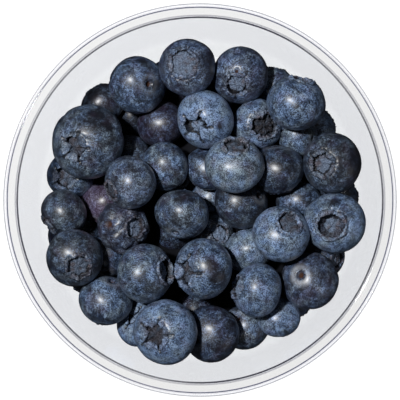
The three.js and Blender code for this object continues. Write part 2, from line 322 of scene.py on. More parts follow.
class Side(NamedTuple):
    """The crown at one side of a berry. Lengths are shares of the crown's radius."""
    sepal: float = 0.5  # 1 in the middle of a sepal and 0 in a split
    tip: float = 0.8  # how far in the sepal reaches
    tip_height: float = 0.0
    rim: float = 0.06  # height of the ring that the sepals grow from
    groove: float = 0.02  # depth of the crease outside the ring
    dish: float = 0.72  # radius of the dish
    sunk: float = 0.15  # depth of the dish
    pit: float = 0.4  # depth of the gap between the sepals and the dish
    crease: float = 0.0  # depth of the fold that runs out from a split


BODY_END = 1.35  # these, too, are shares of the crown's radius
CREASE_START = 1.25
CREASE_FADE = 0.15
GROOVE_START = 1.1
RING_INSIDE = 0.91
WALL = 0.87  # under the sepals
SEPAL_BOW = 0.04
SEPAL_THICKNESS = 0.03
DISH_GAP = 0.01
DISH_DOME = 0.05
DISH_EDGE = 0.06
STYLE_LIP = 0.04  # round the scar that the style leaves in the middle


def crown_point(part, along, side):
    """Radius and height of a crown station above the crown's edge, as shares of its radius."""
    if part == "ring":
        swell = math.sin(math.pi * blend(0.1, 0.7, along))
        return blend(1.0, RING_INSIDE, along), side.rim * swell - side.crease
    if part == "sepal":
        bow = SEPAL_BOW * math.sin(math.pi * along) * side.sepal
        return blend(RING_INSIDE, side.tip, along), blend(side.rim * 0.8, side.tip_height, along) + bow
    if part == "under":
        underside = side.tip_height - SEPAL_THICKNESS
        return blend(side.tip, WALL, along), blend(underside, -side.pit * 0.7, along)
    if part == "pit":
        return blend(WALL, side.dish + DISH_GAP, along), -side.pit * blend(0.75, 1, along)
    if part == "dish":
        dome = DISH_DOME * (1 - along * along)
        return side.dish * along, dome - side.sunk - (DISH_EDGE if along == 1 else 0)
    lip = STYLE_LIP if 0.1 < along < 0.2 else 0
    return side.dish * along, DISH_DOME - side.sunk + lip


def outline(crown=0.46, flat=BLANK_FLATNESS, side=Side()):
    """Half outline of a berry of radius 1, from the stem scar to the middle of the crown."""
    points = []
    last = 180 - math.degrees(math.asin(crown * BODY_END))
    for turn in SKIN_TURNS:
        angle = math.radians(turn * last / SKIN_TURNS[-1])
        points.append((math.sin(angle), -flat * math.cos(angle)))
    base = flat * math.sqrt(1 - crown * crown)
    for part, along in CROWN_STATIONS:
        if part == "edge":
            groove = side.groove if along < GROOVE_START else 0
            groove += side.crease * min(1, (CREASE_START - along) / CREASE_FADE)
            points.append((crown * along, flat * math.sqrt(1 - (crown * along) ** 2) - crown * groove))
        else:
            out, height = crown_point(part, along, side)
            points.append((crown * out, base + crown * height))
    return points


print("the plain outline has", len(outline()), "points")


# %% Spin the blank
SAME_PLACE = 0.001  # in the outline's own unit


def spin_outline(name, points, steps, unit=1.0):
    """The mesh of an outline of radius and height, spun round the axis. Its layer "station" numbers
    the outline's corners, and unit is the length of 1 in the outline."""
    bm = bmesh.new()
    station = bm.verts.layers.int.new("station")
    corners = []
    for number, (radius, height) in enumerate(points):
        corner = bm.verts.new((radius * unit, 0, height * unit))
        corner[station] = number
        corners.append(corner)
    for before, after in zip(corners, corners[1:]):
        bm.edges.new((before, after))
    bmesh.ops.spin(bm, geom=bm.verts[:] + bm.edges[:], axis=(0, 0, 1), cent=(0, 0, 0),
                   angle=math.tau, steps=steps, use_merge=True)
    bmesh.ops.remove_doubles(bm, verts=bm.verts, dist=SAME_PLACE * unit)
    bmesh.ops.recalc_face_normals(bm, faces=bm.faces)
    for face in bm.faces:
        face.smooth = True
    mesh = bpy.data.meshes.new(name)
    bm.to_mesh(mesh)
    bm.free()
    return mesh


blank = spin_outline("berry_blank", outline(), STEPS)
plain_blank = spin_outline("plain_berry_blank", outline(), STEPS // 2)
print("blank:", len(blank.vertices), "vertices,", len(blank.polygons), "faces")

# %% [markdown]
# ## Making each berry its own
#
# No two berries are alike: each is a little oval or angular, its five sepals stand or fold in by
# different amounts, one or two of them are torn, and neighbours have rubbed off some of the wax.
# The blank is therefore copied and its vertices are moved, station by station and round the axis.
# A bump map could fake the small dents, but not the crowns, which cast real shadows into
# themselves. What can't be shape is written on the vertices as colour layers for the material.

# %% Give every berry its own crown
SEPALS = 5
SPLIT_TIP = 0.89  # where the sepals part, as a share of the crown's radius
OPEN_TIP = 0.74
FOLDED_TIP = 0.3
OPEN_SPLIT = 0.6  # the lower, the narrower the splits
NARROW_SPLIT = 0.5
LEAST_SPLIT = 2  # degrees to each side
CREASE_REACH = 7  # degrees
MOST_CREASE = 0.3
SEPAL_LENGTHS = (0.55, 1.15)
SEPAL_LIFTS = (0.3, 1.2)
TORN_LENGTH = 0.05
SHORT_LENGTH = 0.4  # of what the sepal had
MOSTLY_FOLDED = 0.7  # a crown that is folded in further isn't torn
RAGGED_WAVES = 6
WIDE_WAVES = 1.8
SHORTEST_TIP = 0.93
LONGEST_TIP = 0.2
SMALLEST_DISH = 0.3
LARGEST_DISH = 0.86
SPLIT_HEIGHT = 0.03  # heights and depths as shares of the crown's radius
LYING_HEIGHT = 0.08  # a sepal's tip above the dish
STANDING_HEIGHT = 0.22
RING_HEIGHT = 0.03
RING_LIFT = 0.13
RING_WAVE = 0.06
GROOVE_DEPTH = 0.05
TORN_EDGE = 0.12  # how far a torn edge is off the smooth one
DISH_WAVE = 0.2
CROWN_WAVE = 0.1


class Crown(NamedTuple):
    phase: float
    lengths: list
    lifts: list
    seed: Vector


def random_crown(berry, rng):
    lengths = [rng.uniform(*SEPAL_LENGTHS) for _ in range(SEPALS)]
    lifts = [rng.uniform(*SEPAL_LIFTS) for _ in range(SEPALS)]
    phase = rng.uniform(0, SEPALS)
    torn = rng.randrange(SEPALS)
    seed = Vector((rng.uniform(-50, 50), 0, 0))
    if berry.sepals:
        return Crown(0, berry.sepals, lifts, seed)
    if berry.folded < MOSTLY_FOLDED:
        lengths[torn] = TORN_LENGTH
        lengths[(torn + 2) % SEPALS] *= SHORT_LENGTH
    return Crown(phase, lengths, lifts, seed)


def round_noise(turn, waves, seed):
    """Noise that runs round the axis and meets itself."""
    return noise.noise(Vector((waves * math.cos(turn), waves * math.sin(turn), 0)) + seed)


def side_of(berry, crown, turn):
    """The outline of a berry at one side, with the sepal or split that stands there, and its crease."""
    place = (turn / math.tau * SEPALS + crown.phase) % SEPALS
    number = int(place)
    away = min(place - number, number + 1 - place) * 360 / SEPALS
    sepal = math.sin(math.pi * (place - number)) ** blend(OPEN_SPLIT, NARROW_SPLIT, berry.folded)
    sepal *= soft_step(away, LEAST_SPLIT, 3 * LEAST_SPLIT)
    ragged = round_noise(turn, RAGGED_WAVES, crown.seed)
    wide = round_noise(turn, WIDE_WAVES, crown.seed)
    reach = sepal * crown.lengths[number]
    tip = blend(SPLIT_TIP, blend(OPEN_TIP, FOLDED_TIP, berry.folded), reach) + TORN_EDGE * ragged
    standing = berry.stand * crown.lifts[number] * (1 + ragged)
    lifted = blend(LYING_HEIGHT - berry.sunk, STANDING_HEIGHT, standing)
    uneven = 1 + DISH_WAVE * wide + TORN_EDGE * ragged
    side = Side(
        sepal=sepal,
        tip=min(max(tip, LONGEST_TIP), SHORTEST_TIP),
        tip_height=blend(SPLIT_HEIGHT, lifted, min(reach, 1)),
        rim=max(0, RING_HEIGHT + RING_LIFT * berry.stand * sepal + RING_WAVE * wide),
        groove=max(0, GROOVE_DEPTH + TORN_EDGE * ragged) * (1.2 - berry.folded),
        dish=max(SMALLEST_DISH, min(berry.dish * uneven, LARGEST_DISH)),
        sunk=berry.sunk,
        pit=berry.sunk + berry.moat,
        crease=MOST_CREASE * berry.folded * max(0, 1 - away / CREASE_REACH),
    )
    pointed = min(berry.stand, 1) * (sepal - 0.5)
    crown_radius = berry.crown * (1 + CROWN_WAVE * (wide + pointed))
    return outline(crown_radius, berry.flat, side), side.crease / MOST_CREASE


# %% Crumple the crown
CROWN_GRAIN = 9  # waves of the crumpling over a berry's radius
CROWN_ROUGHNESS = 0.11  # the three below are shares of it
DISH_SHARE = 0.6
STANDING_SHARE = 0.6
DRIED_SHARE = 2.5
DRIED_POWER = 6  # so that only the barest crowns count as dried
FINE_CRUMPLE = 2.3


def crumple(out, height, turn, station, berry, seed):
    """Radius and height of a crown point, once it is moved a little at random."""
    spot = Vector((out * math.cos(turn), out * math.sin(turn), height)) * CROWN_GRAIN + seed
    rough = berry.crown * CROWN_ROUGHNESS * blend(1, DRIED_SHARE, berry.bare ** DRIED_POWER)
    rough *= DISH_SHARE if station >= DISH_STATION else blend(1, STANDING_SHARE, min(berry.stand, 1))
    rise = noise.noise(spot + seed) + 0.5 * noise.noise(spot * FINE_CRUMPLE)
    return out + rough * noise.noise(spot) * min(1, 4 * out), height + rough * rise


print("crumples", round(16 / 2 / CROWN_GRAIN, 1), "mm wide on a berry of 16 mm")

# %% Bend, dent and wrinkle a berry
SPOT_DEPTH = 0.09
SPOTS = {  # small brown pits: heading, lean and reach in degrees
    "wrinkled": ((172, 30, 11),),
    "right of peak": ((150, 10, 6),),
    "bottom, small": ((135, 36, 9),),
}
GROOVE_WIDTH = 0.07
WIDE_BULGE = 0.045
LOCAL_BULGE = 0.012
FOLD_DEPTH = 0.16
FINE_FOLD_DEPTH = 0.05
CREASES = {  # grooves round a pole, 120 degrees from it: the pole's heading and lean, and the depth
    "left of peak": ((43, 65, 0.05),),
    "biggest": ((255, 118, 0.035),),
    "right": ((330, 110, 0.025),),
}


def facing(heading, lean):
    """Unit vector with a heading from +X and a lean from straight up, both in degrees."""
    heading = math.radians(heading)
    lean = math.radians(lean)
    return Vector((math.sin(lean) * math.cos(heading), math.sin(lean) * math.sin(heading), math.cos(lean)))


def near(direction, heading, lean, reach):
    """1 at the middle of a patch, falling to 0 at its edge."""
    away = math.degrees(direction.angle(facing(heading, lean)))
    return 1 - soft_step(away, 0.45 * reach, reach)


def wrinkle(direction, seed):
    """Shrunken skin: long folds that meet at the middle of the shown side."""
    fold = abs(noise.noise(direction * 1.9 + seed))
    fine = abs(noise.noise(direction * 4.5 + seed))
    return -FOLD_DEPTH * (0.35 - fold) - FINE_FOLD_DEPTH * (0.3 - fine)


def unevenness(point, seed):
    """How much a berry bulges, as a share of its radius."""
    wide = noise.noise(point * 1.1 + seed)
    local = noise.noise(point * 2.6 + seed)
    return WIDE_BULGE * wide + LOCAL_BULGE * local


def faults(berry, own, direction, seed):
    """How much the skin bulges at a point, and how far the point is part of a brown pit."""
    bulge = 1 + unevenness(own, seed)
    if berry.kind == "wrinkled":
        bulge += wrinkle(direction, seed)
    scar = 0
    for heading, lean, reach in SPOTS.get(berry.name, ()):
        spot = near(direction, heading, lean, reach)
        bulge -= SPOT_DEPTH * spot
        scar = max(scar, spot)
    for heading, lean, depth in CREASES.get(berry.name, ()):
        off = direction.dot(facing(heading, lean)) + 0.5
        bulge -= depth * math.exp(-((off / GROOVE_WIDTH) ** 2))
    return bulge, scar


print(sum(len(marks) for marks in (*SPOTS.values(), *CREASES.values())), "pits and grooves")

# %% [markdown]
# The colour layers hold, for each vertex, how brown the crown is there, how much painted shade it
# gets where it lies deep in a gap, groove or crease and in a bare dish, how far it is part of the matt
# crown and dish, and whether it is in the stem scar (layer "crown_marks"). They also hold how much wax
# is left, how red the skin is, how pale the ring round the scar is, partly as a painted highlight, and
# one number for each berry, which makes some greyer than others ("skin_marks").

# %% Work out the marks of a vertex
SCAR_TURN = 6.5  # degrees round the scar's pit
USUAL_BROWN = 0.15
MOST_BROWN = 0.75
RING_MATT = 0.25
SEPAL_MATT = 0.45
# Painted shade: the gaps, grooves and creases of a crown, and the dish of a bare one, are darkened in
# colour. EDGE_SHADE darkens the groove outside the ring, and a moat of DEEP_MOAT gets the full shade.
DEEP_MOAT = 0.35
EDGE_SHADE = 0.7
CREASE_BREADTH = 3
PATCH_WANDER = 9  # degrees
WORN_BLOOM = 0.25  # what a worn patch keeps of its wax
# The pale ring round the stem scar is partly the paler skin there and partly a painted highlight, the glint
# on the dimple's lip.
USUAL_RING_AND_HIGHLIGHT = 0.12
STRONG_RING_AND_HIGHLIGHT = 0.42


def crown_marks(berry, station, ragged, crease):
    """Brownness, painted shade of gaps, grooves and creases, part of the matt crown or dish, and part of the
    scar, from 0 to 1.
    """
    if station < BODY_STATIONS:
        turn = SKIN_TURNS[station]
        return 0, 0, 0, 1 - soft_step(turn, 0.7 * SCAR_TURN, SCAR_TURN + 1)
    part, along = CROWN_STATIONS[station - BODY_STATIONS]
    brown = max(0, blend(USUAL_BROWN, MOST_BROWN, berry.bare) + 1.6 * ragged)
    shade = min(1, 0.6 + 0.4 * berry.moat / DEEP_MOAT)
    crease = min(1, CREASE_BREADTH * crease)
    if part == "edge":
        return 0, max(EDGE_SHADE * (1 - berry.folded) if along < GROOVE_START else 0, crease), 0, 0
    open_share = (1 - berry.folded) ** 1.5
    if part == "ring":
        return min(1, 0.8 * brown * open_share), crease, RING_MATT, 0
    if part == "sepal":
        return min(1, brown * (0.5 + along) * open_share), crease, SEPAL_MATT, 0
    if part == "under":
        return 0.5, shade * (0.5 + 0.5 * along), 0, 0
    if part == "pit":
        return 0.6, shade, 0, 0
    brown = min(1, max(0, brown + 0.5 * berry.bare - 0.4))
    return brown, 0.8 * shade if along == 1 else max(0.85 * berry.bare, crease), 1, 0


def skin_marks(berry, station, direction, seed):
    """Wax, redness, the pale ring round the scar, partly a painted highlight, and greyness."""
    bloom = berry.bloom
    wander = noise.noise(direction * 3.5 + seed)
    for heading, lean, reach in berry.worn:
        away = math.degrees(direction.angle(facing(heading, lean))) + PATCH_WANDER * wander
        bloom *= blend(WORN_BLOOM, 1, soft_step(away, 0.4 * reach, 1.1 * reach))
    pale_ring_and_highlight = 0
    if station < BODY_STATIONS:
        turn = SKIN_TURNS[station]
        pale_ring_and_highlight = soft_step(turn, 10, 15) * (1 - soft_step(turn, 17, 27)) * (1 + wander)
        pale_ring_and_highlight *= STRONG_RING_AND_HIGHLIGHT if berry.name == "stem end up" else USUAL_RING_AND_HIGHLIGHT
    grey = (seed.x * 0.137) % 1 if berry.grey is None else berry.grey
    return bloom, berry.red, pale_ring_and_highlight, grey


dish_middle = BODY_STATIONS + len(CROWN_STATIONS) - 1
print("marks in the middle of the first dish:", crown_marks(UPPER_BERRIES[0], dish_middle, 0, 0))

# %% Shape one berry from the blank
SCAR_DEPTH = 0.09
DIMPLE_TURN = 20
DIMPLE_DEPTH = 0.08
OVALNESS = 0.015


def shape_berry(berry, middle, source, rng):
    """A row for each vertex: its place in metres, its two sets of marks, and the place where it grew."""
    crown = random_crown(berry, rng)
    seed = Vector((rng.uniform(-90, 90), rng.uniform(-90, 90), rng.uniform(-90, 90)))
    oval = rng.uniform(0, math.pi)
    turned = Vector((0, 0, 1)).rotation_difference(facing(berry.heading, berry.lean))
    radius = berry.width / 2
    sides = {}
    rows = []
    for station, turn in source:
        if turn not in sides:
            sides[turn] = side_of(berry, crown, turn)
        points, crease = sides[turn]
        out, height = points[station]
        if station >= RING_STATION:
            out, height = crumple(out, height, turn, station, berry, seed)
        if station < BODY_STATIONS and SKIN_TURNS[station] < DIMPLE_TURN:
            sink = 1 - SKIN_TURNS[station] / DIMPLE_TURN
            height += DIMPLE_DEPTH * sink * sink + (SCAR_DEPTH if SKIN_TURNS[station] < SCAR_TURN else 0)
        swell = 1 + OVALNESS * out * math.cos(2 * (turn - oval))
        own = Vector((out * math.cos(turn) * swell, out * math.sin(turn) * swell, height))
        point = own.copy()
        point.rotate(turned)
        direction = point.normalized()
        bulge, scar = faults(berry, own, direction, seed)
        place = (middle + point * bulge * radius) * MM
        ragged = noise.noise(own * RAGGED_WAVES + seed)
        # deep is the painted shade of the crown's gaps, grooves, creases and bare dish
        brown, deep, matt, stem = crown_marks(berry, station, ragged, crease)
        skin = skin_marks(berry, station, direction, seed)
        rows.append((place, (brown, deep, matt, max(stem, scar)), skin, own * radius + seed))
    return rows


def read_blank(mesh):
    """Station and side of every vertex of a blank."""
    stations = [entry.value for entry in mesh.attributes["station"].data]
    sides = []
    for vertex in mesh.vertices:
        turn = math.atan2(vertex.co.y, vertex.co.x)
        sides.append(round(turn, 4))
    return list(zip(stations, sides))


print(len(read_blank(blank)), "vertices are placed for each berry")

# %% [markdown]
# ## One piece for each kind of berry
#
# The berries are joined into one mesh for each kind: the upper and the lower ones with their bloom,
# rubbed dark ones, creased ones, the wrinkled one, and those on the floor. The shapes are real
# meshes, not instances, so that every crown differs and each piece can be exported as it stands.

# %% Grow the berries, kind by kind
def new_object(name, data):
    """Puts a mesh, a lamp or a camera into the scene."""
    item = bpy.data.objects.new(name, data)
    bpy.context.collection.objects.link(item)
    return item


def write_layer(mesh, name, field, values):
    """Keeps a value for each vertex. field is color or vector."""
    layer = mesh.attributes.new(name, "FLOAT_" + field.upper(), "POINT")
    layer.data.foreach_set(field, [number for value in values for number in value])


def grow_kind(kind, members, seed):
    """One mesh object with all berries of a kind."""
    source = plain_blank if kind == "floor" else blank
    corners = read_blank(source)
    rng = random.Random(seed)
    bm = bmesh.new()
    rows = []
    for berry, middle in members:
        bm.from_mesh(source)
        rows += shape_berry(berry, middle, corners, rng)
    places, marks, skins, grown = zip(*rows)
    for vertex, place in zip(bm.verts, places):
        vertex.co = place
    mesh = bpy.data.meshes.new(kind + "_blueberries")
    bm.to_mesh(mesh)
    bm.free()
    write_layer(mesh, "crown_marks", "color", marks)
    write_layer(mesh, "skin_marks", "color", skins)
    write_layer(mesh, "grown_place", "vector", grown)
    return new_object(kind + "_blueberries", mesh)


KINDS = {"upper": 3, "lower": 14, "rubbed": 11, "creased": 5, "wrinkled": 8, "floor": 21}  # with the seeds
berry_pieces = []
for kind, seed in KINDS.items():
    members = [(berry, middle) for berry, middle in heap if berry.kind == kind]
    piece = grow_kind(kind, members, seed)
    berry_pieces.append(piece)
    print(piece.name, len(members), "berries,", 2 * len(piece.data.polygons), "triangles at most")

# %% [markdown]
# ## The dark inside of the heap
#
# Between the berries the eye meets only shade, because more fruit lies behind. A low mound fills that
# space, well under the berries that show, so that no daylight comes through the heap; its near black
# colour is painted shade. It is a spun outline, made lumpy so that it never shows as a smooth bowl.

# %% Spin the inside mound
CORE_RADIUS = 35
CORE_BOTTOM = 6.5
CORE_EDGE = 13
CORE_TOP = 15
CORE_STEPS = 48
LUMP = 1.5
LUMP_SIZE = 6
core_outline = [(0, CORE_BOTTOM), (CORE_RADIUS * 0.5, CORE_BOTTOM), (CORE_RADIUS - 2, CORE_BOTTOM)]
core_outline += [(CORE_RADIUS, CORE_BOTTOM + 2), (CORE_RADIUS, CORE_EDGE - 2), (CORE_RADIUS - 3, CORE_EDGE)]
for share in (0.75, 0.6, 0.45, 0.3, 0.15, 0):
    core_outline.append((CORE_RADIUS * share, blend(CORE_TOP, CORE_EDGE, share)))
core = new_object("inside_of_the_heap", spin_outline("inside_of_the_heap", core_outline, CORE_STEPS, MM))
for vertex in core.data.vertices:
    vertex.co.z += LUMP * MM * noise.noise(vertex.co / (LUMP_SIZE * MM))
print("inside mound up to", round(max(v.co.z for v in core.data.vertices) / MM, 1), "mm")

# %% [markdown]
# ## The tub
#
# The tub is one sheet of even thickness, so its section is a line with bends, thickened to both
# sides. The section is worked out once, with round bends, and spun. Glass cups are often made as an
# outer and an inner surface by hand, but a section of even thickness can't drift apart that way.

# %% Draw the line of the sheet
BEND_STEP = 12  # degrees


def bend_points(middle, radius, start, end):
    count = max(2, round(abs(end - start) / BEND_STEP))
    angles = [math.radians(blend(start, end, i / count)) for i in range(count + 1)]
    return [(middle[0] + radius * math.cos(a), middle[1] + radius * math.sin(a)) for a in angles]


def sheet_line():
    """The middle line of the sheet from the axis to the edge of the skirt, in millimetres."""
    half = SHEET / 2
    floor_line = FLOOR_HEIGHT - half
    foot = wall_radius(half + BOTTOM_BEND) + half - BOTTOM_BEND
    foot_inside = foot - FOOT_WIDTH
    points = [(0, floor_line), (foot_inside * 0.6, floor_line), (foot_inside - FOOT_STEP, floor_line)]
    points += [(foot_inside - 0.3, half + 0.1), (foot_inside, half)]
    points += bend_points((foot, half + BOTTOM_BEND), BOTTOM_BEND, -90, -4)
    points += [(wall_radius(height) + half, height) for height in (14, 26, 38)]
    points += bend_points((MOUTH_RADIUS + half + RIM_BEND, WALL_TOP), RIM_BEND, 178, 90)
    corner = 0.5
    outer = SKIRT_TOP_RADIUS + half
    points += bend_points((outer - corner, RIM_LINE - corner), corner, 90, 15)
    points += [(blend(outer, RIM_RADIUS - half, 0.5), RIM_LINE - SKIRT_DROP * 0.5)]
    points += [(RIM_RADIUS - half, TUB_HEIGHT - SKIRT_DROP)]
    return [Vector((radius, 0, height)) for radius, height in points]


def thicken(line):
    """Both faces of the sheet as one outline, out along the underside and back along the top."""
    outside = []
    inside = []
    for i, point in enumerate(line):
        into = (point - line[max(i - 1, 0)]).normalized()
        away = (line[min(i + 1, len(line) - 1)] - point).normalized()
        along = (into + away).normalized()
        across = Vector((along.z, 0, -along.x)) * (SHEET / 2 / along.dot(into if i else away))
        outside.append(point + across)
        inside.append(point - across)
    return outside + inside[::-1]


section = thicken(sheet_line())
print("the section has", len(section), "corners")

# %% Spin the tub
TUB_STEPS = 180
section_corners = [(point.x, point.z) for point in section]
tub = new_object("clear_tub", spin_outline("clear_tub", section_corners, TUB_STEPS, MM))
print("tub:", len(tub.data.polygons), "faces")

# %% Tie the pieces to the frame
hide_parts("tub")
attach(tub, "root")
for piece in berry_pieces + [core]:
    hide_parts("blueberries")
    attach(piece, "root")
print("the pieces ride on the body root")

# %% [markdown]
# ## Materials
#
# Colours are written as sRGB hex values, as they are read off a screen, and turned to linear light
# by one function. Another small function adds a node with its settings and its links.

# %% Helpers for colours and nodes
def linear(hex_colour):
    """An sRGB hex colour as linear RGBA."""
    channels = [int(hex_colour[i:i + 2], 16) / 255 for i in (1, 3, 5)]
    return (*[c / 12.92 if c <= 0.04045 else ((c + 0.055) / 1.055) ** 2.4 for c in channels], 1)


def add_node(tree, kind, settings=None, stops=(), **inputs):
    """Adds a node. settings are its own values, and stops the places and colours of a colour ramp.
    inputs are sockets by name or number: a value, or another node's output socket to link from."""
    node = tree.nodes.new(kind)
    for name, value in (settings or {}).items():
        setattr(node, name, value)
    if stops:
        ramp = node.color_ramp.elements
        ramp.remove(ramp[1])
        ramp[0].position = stops[0][0]
        ramp[0].color = linear(stops[0][1])
        for place, colour in stops[1:]:
            ramp.new(place).color = linear(colour)
    for name, value in inputs.items():
        socket = node.inputs[int(name[1:])] if name[0] == "_" else node.inputs[name.replace("_", " ")]
        if isinstance(value, bpy.types.NodeSocket):
            tree.links.new(value, socket)
        else:
            socket.default_value = value
    return node


def new_material(name):
    material = bpy.data.materials.new(name)
    material.use_nodes = True
    material.node_tree.nodes.clear()
    return material, material.node_tree


MIX = {"data_type": "RGBA"}
DARKEN = {"data_type": "RGBA", "blend_type": "MULTIPLY"}
ADD = {"operation": "ADD"}
MULTIPLY = {"operation": "MULTIPLY"}
MULTIPLY_ADD = {"operation": "MULTIPLY_ADD"}
MAXIMUM = {"operation": "MAXIMUM"}
print("a berry's blue is", [round(channel, 2) for channel in linear("#788da9")], "in linear light")

# %% [markdown]
# ### Blueberry skin with its bloom
#
# The skin itself is nearly black, smooth and slightly glossy. What makes the berry blue is the
# bloom, a thin layer of wax crystals that scatters light and dulls the gloss. It wears off in
# patches where berries touch, and is scuffed everywhere: broad patches, blotches, streaks that run
# from the crown to the stem, and fine flecks. So one value, the share of wax, drives both the
# colour and the roughness, and each kind of scuff adds or takes some. All patterns read the place
# that a point had before its berry was turned, in millimetres, which is kept on the mesh, so that
# they follow each berry round. Thick wax is blue in one place and grey in another, which a slow
# pattern decides, and a faint violet blush shows here and there. A weak clear coat gives the small
# sharp point in the middle of the soft highlight. The crown is dry and matt, so the coat fades out
# there, and the berries on the floor lie under the others, where their bare skin hardly shines.

# %% List the scuffs of the bloom
class Scuff(NamedTuple):
    size: float  # millimetres
    stretch: float  # below 1 the pattern runs along the berry's axis
    distortion: float
    detail: float
    low: float  # the pattern's value where the wax changes by at_low
    high: float
    at_low: float
    at_high: float


SCUFFS = {
    "patches": Scuff(3.8, 1.0, 0.8, 2.0, 0.32, 0.68, -0.24, 0.24),
    "blotches": Scuff(1.6, 1.0, 0.6, 1.5, 0.35, 0.65, -0.15, 0.15),
    "streaks": Scuff(0.8, 0.3, 1.6, 2.0, 0.54, 0.66, 0.03, -0.3),
    "flecks": Scuff(0.3, 1.0, 0.0, 3.0, 0.32, 0.54, -0.65, 0.2),
    "pocks": Scuff(0.45, 1.0, 0.5, 2.0, 0.6, 0.68, 0.0, -0.6),
}
TONE_SIZE = 3.0
BLUSH_SIZE = 4.0
CRACK_SIZE = 1.7
CRACK_WANDER_SIZE = 1.5
FLAKE_SIZE = 1.4
NOISE_ROUGHNESS = 0.6
BLUE_WAX = [(0.3, "#1f283a"), (0.6, "#41536e"), (1.0, "#778fb2")]
GREY_WAX = [(0.3, "#24272e"), (0.6, "#495562"), (1.0, "#7b8b99")]
DISH_STOPS = [(0.3, "#3c4552"), (0.5, "#616f84"), (0.68, "#8795ab")]
BROWN_STOPS = [(0.36, "#22130f"), (0.5, "#463a39"), (0.7, "#837b83")]
print("scuffs of", sorted(scuff.size for scuff in SCUFFS.values()), "mm")


# %% Spread the wax
def wax_share(tree, own, grown):
    """The share of wax that is left, from 0 to 1, and the scuffs that shape it."""
    wax = own.outputs["Red"]
    scuffs = {}
    for name, scuff in SCUFFS.items():
        drawn = add_node(tree, "ShaderNodeMapping", Vector=grown, Scale=(1, 1, scuff.stretch)).outputs[0]
        pattern = add_node(tree, "ShaderNodeTexNoise", Vector=drawn, Scale=1 / scuff.size,
                           Detail=scuff.detail, Roughness=NOISE_ROUGHNESS, Distortion=scuff.distortion)
        scuffs[name] = pattern.outputs["Fac"]
        change = add_node(tree, "ShaderNodeMapRange", _0=scuffs[name], _1=scuff.low, _2=scuff.high,
                          _3=scuff.at_low, _4=scuff.at_high).outputs[0]
        wax = add_node(tree, "ShaderNodeMath", ADD, _0=wax, _1=change).outputs[0]
    wander = add_node(tree, "ShaderNodeTexNoise", Vector=grown, Scale=1 / CRACK_WANDER_SIZE, Detail=2.0)
    bent = add_node(tree, "ShaderNodeVectorMath", ADD, _0=grown, _1=wander.outputs["Color"]).outputs[0]
    cells = add_node(tree, "ShaderNodeTexVoronoi", {"feature": "DISTANCE_TO_EDGE"}, Vector=bent,
                     Scale=1 / CRACK_SIZE).outputs["Distance"]
    crack = add_node(tree, "ShaderNodeMapRange", _0=cells, _1=0.01, _2=0.06, _3=-0.3, _4=0.0).outputs[0]
    where = add_node(tree, "ShaderNodeMapRange", _0=scuffs["patches"], _1=0.42, _2=0.6).outputs[0]
    wax = add_node(tree, "ShaderNodeMath", MULTIPLY_ADD, _0=crack, _1=where, _2=wax).outputs[0]
    flakes = add_node(tree, "ShaderNodeTexVoronoi", Vector=grown, Scale=1 / FLAKE_SIZE).outputs["Distance"]
    flake = add_node(tree, "ShaderNodeMapRange", _0=flakes, _1=0.08, _2=0.22, _3=-0.22, _4=0.0).outputs[0]
    wax = add_node(tree, "ShaderNodeMath", ADD, _0=wax, _1=flake).outputs[0]
    return add_node(tree, "ShaderNodeClamp", _0=wax).outputs[0], scuffs


most = sum(min(scuff.at_low, scuff.at_high) for scuff in SCUFFS.values())
print("where all scuffs meet, they change the wax by", round(most, 2))


# %% Mix the skin
SKIN_IOR = 1.45
BARE_ROUGHNESS = 0.38
WAXED_ROUGHNESS = 0.52
CRUMPLED_ROUGHNESS = 0.3  # added in the crown and the scar
COAT = 0.45
FINE_RELIEF = 0.05  # millimetres
CROWN_RELIEF = 0.1
DULL_GLOSS = 0.3


